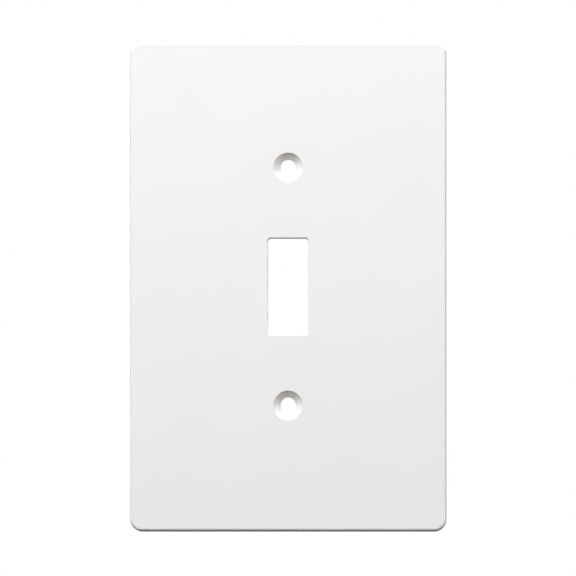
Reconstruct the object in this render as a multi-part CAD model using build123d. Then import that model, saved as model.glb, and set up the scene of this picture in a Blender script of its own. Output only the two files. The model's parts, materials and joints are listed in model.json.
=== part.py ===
from build123d import *
import os
from math import radians, tan

# One-gang toggle switch wall plate of the mid-size pattern. It is one hollow-backed moulding, with no
# other piece. Frame: the origin is the plate's centre on the wall plane, +Z is up the wall and the face
# looks along -Y. +X is to the right of a person who faces the plate. All of it is in front of the wall.

# Driving dimensions, in millimetres and degrees.
WIDTH = 80.3  # across the rim, on the wall plane
HEIGHT = 124.5
DEPTH = 6.4  # from the wall plane to the face
SKIN = 2.0  # thickness of the face
RIM_WALL = 2.0  # thickness of the side walls, on the wall plane
CORNER_RADIUS = 3.1
FACE_EDGE_RADIUS = 0.8  # rounding all round the face
RIM_EDGE_BREAK = 0.25  # small bevel on the outside of the rim, on the wall plane
CAVITY_CORNER_RADIUS = 1.4
CAVITY_FLOOR_RADIUS = 0.6
DRAFT = 1.5  # slope of the side walls, which lets the moulding leave its mould

SCREW_SPACING = 60.325  # 2 3/8 in, the standard distance between a toggle switch's two plate screws
SCREW_HOLE_DIAMETER = 3.9  # clearance for a 6-32 screw
HEAD_RECESS_DIAMETER = 7.4
HEAD_RECESS_LIP = 0.6  # depth of the steep lip, before the cone starts
LIP_SETBACK = 0.2  # how much the lip narrows over its depth
HEAD_CONE_ANGLE = 82.0  # included angle of an oval or flat screw head

OPENING_WIDTH = 10.2  # clear opening for the switch's toggle
OPENING_HEIGHT = 24.2
OPENING_CORNER_RADIUS = 0.8
OPENING_EDGE_RADIUS = 0.45

YOKE_THICKNESS = 1.6  # the switch's metal strap, which lies between the wall and the screw bosses
BOSS_DIAMETER = 10.0
BOSS_EDGE_BREAK = 0.3
COLLAR_WIDTH = 1.6
STIFFENER_HEIGHT = 1.2  # ribs, collar and ejector pads, above the inside of the face
RIB_WIDTH = 1.2
RIB_GAP = 1.5  # from a rib's end to the side wall, so that the face shows no sink mark at its edge
LONG_RIB_X = 24.0
CROSS_RIB_Z = (-42.0, -21.0, 0.0, 21.0, 42.0)
PAD_DIAMETER = 6.0
PAD_INSET = 7.0  # from the outside of the rim to a pad's centre

# Worked out from the dimensions above.
CAVITY_DEPTH = DEPTH - SKIN
CAVITY_WIDTH = WIDTH - 2 * RIM_WALL
CAVITY_HEIGHT = HEIGHT - 2 * RIM_WALL
STIFFENER_TOP = CAVITY_DEPTH - STIFFENER_HEIGHT
ROOT_DEPTH = DEPTH - SKIN / 2  # bosses and stiffeners reach half way into the face, so that they join it
CUT_DEPTH = DEPTH + 1  # the spaces of the screws and the toggle run out past the face


def in_front(distance):
    """The drawing plane this far in front of the wall. Its x is +X, its y is +Z, and it extrudes to -Y."""
    return Plane.XZ.offset(distance)


def prism(outline, start, stop, taper=0):
    """A solid of this outline between two distances in front of the wall. The taper slopes its sides."""
    return extrude(in_front(start) * outline, amount=stop - start, taper=taper)


def front_edges(solid):
    """The edges round the face of a solid that looks along -Y."""
    return solid.faces().sort_by(Axis.Y)[0].edges()


def back_edges(solid):
    """The edges round the face of a solid that looks along +Y."""
    return solid.faces().sort_by(Axis.Y)[-1].edges()


def outer_body():
    body = prism(RectangleRounded(WIDTH, HEIGHT, CORNER_RADIUS), 0, DEPTH, DRAFT)
    body = fillet(front_edges(body), FACE_EDGE_RADIUS)
    return chamfer(back_edges(body), RIM_EDGE_BREAK)


def cavity():
    """The hollow of the back, which goes over the switch's yoke and the edge of the wall box."""
    outline = RectangleRounded(CAVITY_WIDTH, CAVITY_HEIGHT, CAVITY_CORNER_RADIUS)
    hollow = prism(outline, 0, CAVITY_DEPTH, DRAFT)
    return fillet(front_edges(hollow), CAVITY_FLOOR_RADIUS)


def screw_boss(z):
    """A pillar on the inside of the face, which bears on the switch's yoke when the rim meets the wall."""
    boss = prism(Pos(0, z) * Circle(BOSS_DIAMETER / 2), YOKE_THICKNESS, ROOT_DEPTH)
    return chamfer(back_edges(boss), BOSS_EDGE_BREAK)


def opening_collar():
    """A low thickening of the face round the toggle opening."""
    width = OPENING_WIDTH + 2 * COLLAR_WIDTH
    height = OPENING_HEIGHT + 2 * COLLAR_WIDTH
    return prism(RectangleRounded(width, height, COLLAR_WIDTH), STIFFENER_TOP, ROOT_DEPTH)


def rib(x_from, x_to, z_from, z_to):
    """A straight stiffening rib on the inside of the face."""
    middle = Pos((x_from + x_to) / 2, (z_from + z_to) / 2)
    outline = middle * Rectangle(x_to - x_from, z_to - z_from)
    return prism(outline, STIFFENER_TOP, ROOT_DEPTH)


def long_rib(x):
    half = CAVITY_HEIGHT / 2 - RIB_GAP
    return rib(x - RIB_WIDTH / 2, x + RIB_WIDTH / 2, -half, half)


def cross_rib(side, z):
    """A short rib from a long rib towards the side wall. Side is -1 on the left and 1 on the right."""
    ends = sorted((side * LONG_RIB_X, side * (CAVITY_WIDTH / 2 - RIB_GAP)))
    return rib(*ends, z - RIB_WIDTH / 2, z + RIB_WIDTH / 2)


def ejector_pad(x, z):
    """A low round pad near a corner, where a pin pushes the moulding out of its mould."""
    return prism(Pos(x, z) * Circle(PAD_DIAMETER / 2), STIFFENER_TOP, ROOT_DEPTH)


def screw_hole(z):
    """The space of a plate screw: clearance hole, cone for the head and steep lip at the face."""
    hole_radius = SCREW_HOLE_DIAMETER / 2
    lip_radius = HEAD_RECESS_DIAMETER / 2
    cone_radius = lip_radius - LIP_SETBACK
    cone_front = DEPTH - HEAD_RECESS_LIP
    cone_back = cone_front - (cone_radius - hole_radius) / tan(radians(HEAD_CONE_ANGLE / 2))
    outline = Polyline(
        (0, 0),
        (hole_radius, 0),
        (hole_radius, -cone_back),
        (cone_radius, -cone_front),
        (lip_radius, -DEPTH),
        (lip_radius, -CUT_DEPTH),
        (0, -CUT_DEPTH),
        close=True,
    )
    return Pos(0, 0, z) * revolve(make_face(outline), Axis.Y)


def toggle_opening():
    """The space of the toggle, straight through the face."""
    return prism(RectangleRounded(OPENING_WIDTH, OPENING_HEIGHT, OPENING_CORNER_RADIUS), 0, CUT_DEPTH)


def opening_edges(plate):
    """The edges of the toggle opening on the face, which are longer in all than those of a screw hole."""
    face = plate.faces().sort_by(Axis.Y)[0]
    return face.inner_wires().sort_by(SortBy.LENGTH)[-1].edges()


def wall_plate():
    plate = outer_body() - cavity()
    screws_z = (-SCREW_SPACING / 2, SCREW_SPACING / 2)
    plate += [screw_boss(z) for z in screws_z]
    plate += opening_collar()
    plate += [long_rib(side * LONG_RIB_X) for side in (-1, 1)]
    plate += [cross_rib(side, z) for side in (-1, 1) for z in CROSS_RIB_Z]
    pad_x, pad_z = WIDTH / 2 - PAD_INSET, HEIGHT / 2 - PAD_INSET
    plate += [ejector_pad(x, z) for x in (-pad_x, pad_x) for z in (-pad_z, pad_z)]
    plate -= [screw_hole(z) for z in screws_z]
    plate -= toggle_opening()
    return fillet(opening_edges(plate), OPENING_EDGE_RADIUS)


os.makedirs("parts", exist_ok=True)
export_step(wall_plate(), "parts/wall_plate.step")
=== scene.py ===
import json
from math import cos, pi, radians, sin, tan

import bmesh
import bpy
from mathutils import Matrix, Vector
from mathutils.geometry import delaunay_2d_cdt


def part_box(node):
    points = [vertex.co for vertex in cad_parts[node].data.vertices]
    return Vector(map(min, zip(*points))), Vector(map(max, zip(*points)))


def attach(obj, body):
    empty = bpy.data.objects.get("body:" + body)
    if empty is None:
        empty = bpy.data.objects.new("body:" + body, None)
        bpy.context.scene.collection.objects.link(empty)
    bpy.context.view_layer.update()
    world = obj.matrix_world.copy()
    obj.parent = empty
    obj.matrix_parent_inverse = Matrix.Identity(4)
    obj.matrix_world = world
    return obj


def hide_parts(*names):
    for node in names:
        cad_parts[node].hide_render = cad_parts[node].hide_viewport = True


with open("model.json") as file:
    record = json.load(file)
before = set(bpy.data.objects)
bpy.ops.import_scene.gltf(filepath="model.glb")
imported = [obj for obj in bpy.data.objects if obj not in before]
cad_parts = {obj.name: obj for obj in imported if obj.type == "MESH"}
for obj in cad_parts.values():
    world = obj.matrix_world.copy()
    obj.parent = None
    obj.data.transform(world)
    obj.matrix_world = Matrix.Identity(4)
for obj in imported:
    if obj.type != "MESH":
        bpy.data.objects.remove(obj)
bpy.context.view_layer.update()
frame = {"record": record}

# A one-gang toggle switch wall plate, in its own frame: the origin is the plate's centre on the wall
# plane, +Z is up the wall and the face looks along -Y. The mesh is made in millimetres, and "depth" is
# the distance in front of the wall, so a point at depth d has y = -d.

MM = 0.001
PLATE_BOX = [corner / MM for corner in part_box("wall_plate")]
SCREWS = next(mount for mount in frame["record"]["mounts"] if mount["name"] == "screw_holes")["dims"]

# Sizes of the moulding, in millimetres and degrees.
DEPTH = -PLATE_BOX[0].y  # from the wall plane to the face
SKIN = 2.0  # thickness of the face
RIM_WALL = 2.0  # thickness of the side walls, on the wall plane
CORNER_RADIUS = 3.1
FACE_EDGE_RADIUS = 0.8
RIM_EDGE_BREAK = 0.25
CAVITY_CORNER_RADIUS = 1.4
CAVITY_FLOOR_RADIUS = 0.6
DRAFT = 1.5

SCREW_Z = SCREWS["spacing_y_mm"] / 2
SCREW_HOLE_RADIUS = SCREWS["hole_r_mm"]
RECESS_RADIUS = 3.7
RECESS_LIP = 0.6  # depth of the steep lip, before the cone starts
LIP_SETBACK = 0.2  # how much the lip narrows over its depth
HEAD_CONE_ANGLE = 82.0  # included angle
OPENING_HALF = (5.1, 12.1)  # half the clear width and height
OPENING_CORNER_RADIUS = 0.8
OPENING_EDGE_RADIUS = 0.45

YOKE_THICKNESS = 1.6  # the switch's metal strap, between the wall and the screw bosses
BOSS_RADIUS = 5.0
BOSS_EDGE_RADIUS = 0.3
COLLAR_WIDTH = 1.6
STIFFENER_HEIGHT = 1.2  # ribs, collar and ejector pads, above the inside of the face
STIFFENER_EDGE_RADIUS = 0.15
RIB_HALF_WIDTH = 0.6
RIB_END_RADIUS = 0.25
RIB_GAP = 1.5  # from a rib's end to the side wall
LONG_RIB_X = 24.0
CROSS_RIB_Z = (-42.0, -21.0, 0.0, 21.0, 42.0)
PAD_RADIUS = 3.0
PAD_INSET = 7.0  # from the outside of the rim to a pad's centre
PIN_MARK_RADIUS = 2.4  # the dished mark that an ejector pin leaves on its pad
PIN_MARK_DEPTH = 0.12
FOOT_RADIUS = 0.25  # fillet where a stiffener stands on the inside of the face
SMALL_RADIUS = 0.12  # rounding of the edges that a mould leaves almost sharp

# Fineness of the mesh.
EDGE_STEPS = 10
CORNER_STEPS = 14
RIB_CORNER_STEPS = 5
CIRCLE_STEPS = 96
HOLD = 0.05  # from the end of a rounding to the extra ring that keeps the flat beside it flat
LEAST_RADIUS = 0.05
INSIDE = 1  # asks delaunay_2d_cdt for the triangles that lie inside the loops it is given
CAP_TOLERANCE = 1e-5

# Worked out from the sizes above.
SLOPE = tan(radians(DRAFT))
HALF_WIDTH = PLATE_BOX[1].x + RIM_EDGE_BREAK * SLOPE
HALF_HEIGHT = PLATE_BOX[1].z + RIM_EDGE_BREAK * SLOPE
FLOOR_DEPTH = DEPTH - SKIN
STIFFENER_DEPTH = FLOOR_DEPTH - STIFFENER_HEIGHT

# The camera, which has a long lens, in metres and degrees.
CAMERA_DISTANCE = 2.5
SENSOR_WIDTH = 36  # in millimetres, as the lens is
FRAMED_WIDTH = 0.146  # what the picture takes in at that distance
CAMERA_RIGHT = 1.0  # how far it stands round to the right of straight in front
CAMERA_LOW = 0.7  # how far it stands below level
AIM_Z = -0.00044  # the height that it is aimed at

# The floor, in metres.
FLOOR_HALF = 2.4  # half its width
FLOOR_Z = -0.3
FLOOR_GREY = (0.35, 0.35, 0.35, 1)
FLOOR_ROUGHNESS = 0.9
FLOOR_GLOW = 0.32

# The room's brightness by the sine of the height it comes from, from straight down to straight up.
ROOM_LIGHT = ((-1.0, 0.03), (0.0, 0.04), (0.4, 0.06), (1.0, 0.25))

# The lamps: name, place in metres, diameter in metres and watts.
LAMPS = (
    ("key", (-0.15, -0.65, 0.65), 0.45, 7.45),
    ("fill", (-0.3, -1.6, 0.9), 0.6, 6.8),
    ("front", (0.04, -2.6, -0.03), 0.5, 2.0),
    ("left", (-1.0, -0.25, 0.1), 0.6, 3.2),
    ("right", (1.0, -0.25, 0.1), 0.6, 4.9),
    ("rear", (0.3, 0.9, 0.45), 0.6, 11.0),
)

# The plastic. The face and the back differ in gloss and grain, and share what follows.
FACE_MATERIAL = 0  # a place in the mesh's list of materials, as the next one is
BACK_MATERIAL = 1
PLASTIC_IOR = 1.49
CLOUD_SCALE = 45  # patches of faintly uneven tone and gloss in a metre
CLOUD_DETAIL = 3
DARKER_WHITE = (0.862, 0.846, 0.830, 1)
LIGHTER_WHITE = (0.878, 0.862, 0.846, 1)
TONE_SPAN = (0.3, 0.7)  # the cloud's values from which and up to which the white grows lighter
GLOSS_SPREAD = 0.03
GRAIN_DETAIL = 2


def round_corner(before, corner, after, radius, steps):
    """The points of an arc that rounds a corner, with one more point on the straight at each end."""
    back = (before - corner).normalized()
    ahead = (after - corner).normalized()
    half_angle = back.angle(ahead) / 2
    setback = radius / tan(half_angle)
    centre = corner + (back + ahead).normalized() * radius / sin(half_angle)
    spoke = corner + back * setback - centre
    turn = (pi - 2 * half_angle) * (1 if back.cross(ahead) < 0 else -1)
    arc = [centre + Matrix.Rotation(turn * step / steps, 2) @ spoke for step in range(steps + 1)]
    return [corner + back * (setback + HOLD), *arc, corner + ahead * (setback + HOLD)]


def profile(start, *corners):
    """The section of a wall: each corner is (growth, depth, radius). The start and the last corner only
    say where the section comes from and goes to, and are not part of it."""
    points = [Vector(start[:2]), *(Vector(corner[:2]) for corner in corners)]
    section = []
    for before, corner, after, (_, _, radius) in zip(points, points[1:], points[2:], corners):
        section += round_corner(before, corner, after, radius, EDGE_STEPS)
    return section


def outline(corners, radius, steps):
    """A right-angled outline, given anticlockwise, as a function of how much it is grown. Corners that
    point outwards gain the growth in their radius, and corners that point inwards lose it."""
    points = [Vector(corner) for corner in corners]
    neighbours = list(zip(points[-1:] + points[:-1], points, points[1:] + points[:1]))

    def grown(growth):
        moved = []
        radii = []
        for before, corner, after in neighbours:
            along = (corner - before).normalized()
            onward = (after - corner).normalized()
            outwards = Vector((along.y + onward.y, -along.x - onward.x))
            moved.append(corner + outwards * growth)
            radii.append(max(radius + growth * along.cross(onward), LEAST_RADIUS))
        loop = []
        for index, corner_radius in enumerate(radii):
            after = moved[(index + 1) % len(moved)]
            loop += round_corner(moved[index - 1], moved[index], after, corner_radius, steps)
        return loop

    return grown


def rectangle(half_width, half_height, radius):
    corners = [(-half_width, -half_height), (half_width, -half_height)]
    corners += [(half_width, half_height), (-half_width, half_height)]
    return outline(corners, radius, CORNER_STEPS)


def disc(x, z, radius):
    """A round outline, as a function of how much it is grown."""
    turns = [2 * pi * step / CIRCLE_STEPS for step in range(CIRCLE_STEPS)]

    def grown(growth):
        reach = radius + growth
        return [(x + reach * cos(turn), z + reach * sin(turn)) for turn in turns]

    return grown


def comb(side):
    """The outline of a long rib with its cross ribs. Side is -1 on the left and 1 on the right."""
    inner, outer = LONG_RIB_X - RIB_HALF_WIDTH, LONG_RIB_X + RIB_HALF_WIDTH
    tip = HALF_WIDTH - RIM_WALL - RIB_GAP
    end = HALF_HEIGHT - RIM_WALL - RIB_GAP
    corners = [(inner, -end), (outer, -end)]
    for z in CROSS_RIB_Z:
        low, high = z - RIB_HALF_WIDTH, z + RIB_HALF_WIDTH
        corners += [(outer, low), (tip, low), (tip, high), (outer, high)]
    corners += [(outer, end), (inner, end)]
    if side < 0:
        corners = [(-x, z) for x, z in reversed(corners)]
    return outline(corners, RIB_END_RADIUS, RIB_CORNER_STEPS)


def rings(bm, grown, section):
    """Rings of vertices: the outline at each growth and depth of the section."""
    return [[bm.verts.new((x, -depth, z)) for x, z in grown(growth)] for growth, depth in section]


def skin(bm, stack, material):
    """Joins each ring of a stack to the next with a band of faces."""
    for ring, following in zip(stack, stack[1:]):
        for index in range(len(ring)):
            corners = (ring[index - 1], ring[index], following[index], following[index - 1])
            bm.faces.new(corners).material_index = material


def cap(bm, loops, material):
    """Fills a flat region. The first loop is its outside, and the others are its holes."""
    verts = [vert for loop in loops for vert in loop]
    places = [vert.co.xz for vert in verts]
    number = {vert: index for index, vert in enumerate(verts)}
    regions = [[number[vert] for vert in loop] for loop in loops]
    filling = delaunay_2d_cdt(places, [], regions, INSIDE, CAP_TOLERANCE)
    for triangle, inside_regions in zip(filling[2], filling[5]):
        if inside_regions == [0]:
            bm.faces.new([verts[index] for index in triangle]).material_index = material


def outer_wall(bm):
    """From the face, round its edge and down the side walls to the rim."""
    section = profile(
        (-CORNER_RADIUS, DEPTH),
        (-DEPTH * SLOPE, DEPTH, FACE_EDGE_RADIUS),
        (-RIM_EDGE_BREAK * SLOPE, RIM_EDGE_BREAK, SMALL_RADIUS),
        (-RIM_EDGE_BREAK, 0, SMALL_RADIUS),
        (-RIM_WALL, 0, 0),
    )
    return rings(bm, rectangle(HALF_WIDTH, HALF_HEIGHT, CORNER_RADIUS), section)


def cavity_wall(bm):
    """From the rim, down the inside of the side walls to the inside of the face."""
    section = profile(
        (RIM_WALL, 0),
        (0, 0, SMALL_RADIUS),
        (-FLOOR_DEPTH * SLOPE, FLOOR_DEPTH, CAVITY_FLOOR_RADIUS),
        (-RIM_WALL, FLOOR_DEPTH, 0),
    )
    grown = rectangle(HALF_WIDTH - RIM_WALL, HALF_HEIGHT - RIM_WALL, CAVITY_CORNER_RADIUS)
    return rings(bm, grown, section)


def stiffener(bm, grown, top_depth, edge_radius):
    """A raised form on the inside of the face, from its top down to its foot."""
    height = FLOOR_DEPTH - top_depth
    section = profile(
        (-height, top_depth),
        (0, top_depth, edge_radius),
        (height * SLOPE, FLOOR_DEPTH, FOOT_RADIUS),
        (height, FLOOR_DEPTH, 0),
    )
    return rings(bm, grown, section)


def screw_hole_wall(bm, z):
    """The recess for a screw head and the hole behind it, from the face to the back of its boss."""
    cone_radius = RECESS_RADIUS - LIP_SETBACK
    cone_front = DEPTH - RECESS_LIP
    cone_back = cone_front - (cone_radius - SCREW_HOLE_RADIUS) / tan(radians(HEAD_CONE_ANGLE / 2))
    section = profile(
        (BOSS_RADIUS, DEPTH),
        (RECESS_RADIUS, DEPTH, SMALL_RADIUS),
        (cone_radius, cone_front, SMALL_RADIUS),
        (SCREW_HOLE_RADIUS, cone_back, SMALL_RADIUS),
        (SCREW_HOLE_RADIUS, YOKE_THICKNESS, SMALL_RADIUS),
        (BOSS_RADIUS, YOKE_THICKNESS, 0),
    )
    return rings(bm, disc(0, z, 0), section)


def bored_boss(bm, z):
    """A screw hole and its boss. Returns the ring of the recess on the face and the ring of the foot."""
    hole = screw_hole_wall(bm, z)
    boss = stiffener(bm, disc(0, z, BOSS_RADIUS), YOKE_THICKNESS, BOSS_EDGE_RADIUS)
    skin(bm, hole, FACE_MATERIAL)
    skin(bm, hole[-1:] + boss, BACK_MATERIAL)
    return hole[0], boss[-1]


def toggle_opening_wall(bm):
    """The wall of the toggle opening, from the face to the back of its collar."""
    section = profile(
        (COLLAR_WIDTH, DEPTH),
        (0, DEPTH, OPENING_EDGE_RADIUS),
        (0, STIFFENER_DEPTH, SMALL_RADIUS),
        (COLLAR_WIDTH, STIFFENER_DEPTH, 0),
    )
    return rings(bm, rectangle(*OPENING_HALF, OPENING_CORNER_RADIUS), section)


def collared_opening(bm):
    """The toggle opening and its collar. Returns the ring on the face and the ring of the foot."""
    opening = toggle_opening_wall(bm)
    collar_half = [half + COLLAR_WIDTH for half in OPENING_HALF]
    collar_outline = rectangle(*collar_half, COLLAR_WIDTH)
    collar = stiffener(bm, collar_outline, STIFFENER_DEPTH, STIFFENER_EDGE_RADIUS)
    skin(bm, opening, FACE_MATERIAL)
    skin(bm, opening[-1:] + collar, BACK_MATERIAL)
    return opening[0], collar[-1]


def rib_comb(bm, side):
    """A long rib with its cross ribs. Returns the ring of its foot."""
    ribs = stiffener(bm, comb(side), STIFFENER_DEPTH, STIFFENER_EDGE_RADIUS)
    skin(bm, ribs, BACK_MATERIAL)
    cap(bm, ribs[:1], BACK_MATERIAL)
    return ribs[-1]


def ejector_pad(bm, x, z):
    """A pad with the shallow dished mark of an ejector pin in its top. Returns the ring of its foot."""
    mark_floor = STIFFENER_DEPTH + PIN_MARK_DEPTH
    section = profile(
        (0, mark_floor),
        (PIN_MARK_RADIUS - PIN_MARK_DEPTH, mark_floor, LEAST_RADIUS),
        (PIN_MARK_RADIUS, STIFFENER_DEPTH, LEAST_RADIUS),
        (PAD_RADIUS, STIFFENER_DEPTH, 0),
    )
    mark = rings(bm, disc(x, z, 0), section)
    side = stiffener(bm, disc(x, z, PAD_RADIUS), STIFFENER_DEPTH, STIFFENER_EDGE_RADIUS)
    skin(bm, mark + side, BACK_MATERIAL)
    cap(bm, mark[:1], BACK_MATERIAL)
    return side[-1]


def build_mesh(bm):
    outer = outer_wall(bm)
    cavity = cavity_wall(bm)
    skin(bm, outer, FACE_MATERIAL)
    skin(bm, outer[-1:] + cavity, BACK_MATERIAL)
    face_loops = [outer[0]]
    floor_loops = [cavity[-1]]

    through = [bored_boss(bm, z) for z in (-SCREW_Z, SCREW_Z)]
    through.append(collared_opening(bm))
    for front, foot in through:
        face_loops.append(front)
        floor_loops.append(foot)
    for side in (-1, 1):
        floor_loops.append(rib_comb(bm, side))
    for x in (PAD_INSET - HALF_WIDTH, HALF_WIDTH - PAD_INSET):
        for z in (PAD_INSET - HALF_HEIGHT, HALF_HEIGHT - PAD_INSET):
            floor_loops.append(ejector_pad(bm, x, z))

    cap(bm, face_loops, FACE_MATERIAL)
    cap(bm, floor_loops, BACK_MATERIAL)


def noise(nodes, scale, detail):
    texture = nodes.new("ShaderNodeTexNoise")
    texture.inputs["Scale"].default_value = scale
    texture.inputs["Detail"].default_value = detail
    return texture


def moulded_plastic(name, roughness, grain_size, grain_height):
    """White moulded plastic: a faint cloudiness of tone, uneven gloss and the fine grain of the mould's
    surface. The size and height of the grain are in metres."""
    material = bpy.data.materials.new(name)
    material.use_nodes = True
    nodes = material.node_tree.nodes
    links = material.node_tree.links
    shader = nodes["Principled BSDF"]
    shader.inputs["IOR"].default_value = PLASTIC_IOR
    place = nodes.new("ShaderNodeTexCoord").outputs["Object"]

    cloud = noise(nodes, CLOUD_SCALE, CLOUD_DETAIL)
    tone = nodes.new("ShaderNodeValToRGB")
    whites = (DARKER_WHITE, LIGHTER_WHITE)
    for stop, position, white in zip(tone.color_ramp.elements, TONE_SPAN, whites):
        stop.position = position
        stop.color = white
    gloss = nodes.new("ShaderNodeMapRange")
    gloss.inputs["To Min"].default_value = roughness - GLOSS_SPREAD
    gloss.inputs["To Max"].default_value = roughness + GLOSS_SPREAD
    grain = noise(nodes, 1 / grain_size, GRAIN_DETAIL)
    bump = nodes.new("ShaderNodeBump")
    bump.inputs["Distance"].default_value = grain_height

    links.new(place, cloud.inputs["Vector"])
    links.new(place, grain.inputs["Vector"])
    links.new(cloud.outputs["Fac"], tone.inputs["Fac"])
    links.new(cloud.outputs["Fac"], gloss.inputs["Value"])
    links.new(grain.outputs["Fac"], bump.inputs["Height"])
    links.new(tone.outputs["Color"], shader.inputs["Base Color"])
    links.new(gloss.outputs["Result"], shader.inputs["Roughness"])
    links.new(bump.outputs["Normal"], shader.inputs["Normal"])
    return material


def face_plastic():
    return moulded_plastic("white_plastic_face", roughness=0.33, grain_size=0.0009, grain_height=4e-6)


def back_plastic():
    """Duller than the face and with a taller and finer grain, because the back isn't polished."""
    return moulded_plastic("white_plastic_back", roughness=0.55, grain_size=0.0004, grain_height=12e-6)


def wall_plate():
    bm = bmesh.new()
    build_mesh(bm)
    bmesh.ops.recalc_face_normals(bm, faces=bm.faces)
    bmesh.ops.transform(bm, matrix=Matrix.Scale(MM, 4), verts=bm.verts)
    for face in bm.faces:
        face.smooth = True
    mesh = bpy.data.meshes.new("wall_plate_moulding")
    bm.to_mesh(mesh)
    bm.free()
    mesh.materials.append(face_plastic())
    mesh.materials.append(back_plastic())
    piece = bpy.data.objects.new("wall_plate_moulding", mesh)
    bpy.context.scene.collection.objects.link(piece)
    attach(piece, "root")
    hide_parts("wall_plate")


def aim(thing, target):
    thing.rotation_euler = (Vector(target) - thing.location).to_track_quat("-Z", "Y").to_euler()


def add_camera():
    """The camera in front of the plate, a little low and to the right."""
    right, low = radians(CAMERA_RIGHT), radians(CAMERA_LOW)
    target = Vector((0, -DEPTH * MM, AIM_Z))
    data = bpy.data.cameras.new("camera")
    data.sensor_width = SENSOR_WIDTH
    data.lens = SENSOR_WIDTH * CAMERA_DISTANCE / FRAMED_WIDTH
    camera = bpy.data.objects.new("camera", data)
    away = Vector((sin(right) * cos(low), -cos(right) * cos(low), -sin(low)))
    camera.location = target + away * CAMERA_DISTANCE
    aim(camera, target)
    bpy.context.scene.collection.objects.link(camera)
    bpy.context.scene.camera = camera


def add_lamp(name, place, size, watts):
    data = bpy.data.lights.new(name, "AREA")
    data.shape = "DISK"
    data.size = size
    data.energy = watts
    light = bpy.data.objects.new(name, data)
    light.location = place
    aim(light, (0, 0, 0))
    light.visible_camera = False
    bpy.context.scene.collection.objects.link(light)


def add_world():
    """White behind the object and, for its light, a soft room that is brighter above than below."""
    world = bpy.data.worlds.new("studio")
    world.use_nodes = True
    nodes = world.node_tree.nodes
    links = world.node_tree.links
    nodes.clear()
    direction = nodes.new("ShaderNodeTexCoord")
    split = nodes.new("ShaderNodeSeparateXYZ")
    height = nodes.new("ShaderNodeMapRange")
    height.inputs["From Min"].default_value = -1
    room = nodes.new("ShaderNodeValToRGB")
    ramp = room.color_ramp.elements
    while len(ramp) < len(ROOM_LIGHT):
        ramp.new(1)
    for stop, (sine, brightness) in zip(ramp, ROOM_LIGHT):
        stop.position = (sine + 1) / 2
        stop.color = (brightness, brightness, brightness, 1)
    room_light = nodes.new("ShaderNodeBackground")
    backdrop = nodes.new("ShaderNodeBackground")
    backdrop.inputs["Color"].default_value = (1, 1, 1, 1)
    rays = nodes.new("ShaderNodeLightPath")
    mix = nodes.new("ShaderNodeMixShader")
    output = nodes.new("ShaderNodeOutputWorld")
    links.new(direction.outputs["Generated"], split.inputs["Vector"])
    links.new(split.outputs["Z"], height.inputs["Value"])
    links.new(height.outputs["Result"], room.inputs["Fac"])
    links.new(room.outputs["Color"], room_light.inputs["Color"])
    links.new(rays.outputs["Is Camera Ray"], mix.inputs["Fac"])
    links.new(room_light.outputs["Background"], mix.inputs[1])
    links.new(backdrop.outputs["Background"], mix.inputs[2])
    links.new(mix.outputs["Shader"], output.inputs["Surface"])
    bpy.context.scene.world = world


def add_floor():
    """A plain pale floor below the plate. It glows a little, so that it stays pale away from the lamps,
    and it throws no light back up."""
    half, z = FLOOR_HALF, FLOOR_Z
    corners = [(-half, -half, z), (half, -half, z), (half, half, z), (-half, half, z)]
    mesh = bpy.data.meshes.new("floor")
    mesh.from_pydata(corners, [], [(0, 1, 2, 3)])
    material = bpy.data.materials.new("pale_floor")
    material.use_nodes = True
    shader = material.node_tree.nodes["Principled BSDF"]
    shader.inputs["Base Color"].default_value = FLOOR_GREY
    shader.inputs["Roughness"].default_value = FLOOR_ROUGHNESS
    shader.inputs["Emission Color"].default_value = (1, 1, 1, 1)
    shader.inputs["Emission Strength"].default_value = FLOOR_GLOW
    mesh.materials.append(material)
    floor = bpy.data.objects.new("floor", mesh)
    floor.visible_diffuse = False
    floor.visible_glossy = False
    bpy.context.scene.collection.objects.link(floor)


wall_plate()
add_camera()
add_world()
add_floor()
for lamp in LAMPS:
    add_lamp(*lamp)
bpy.context.scene.view_settings.view_transform = "Standard"
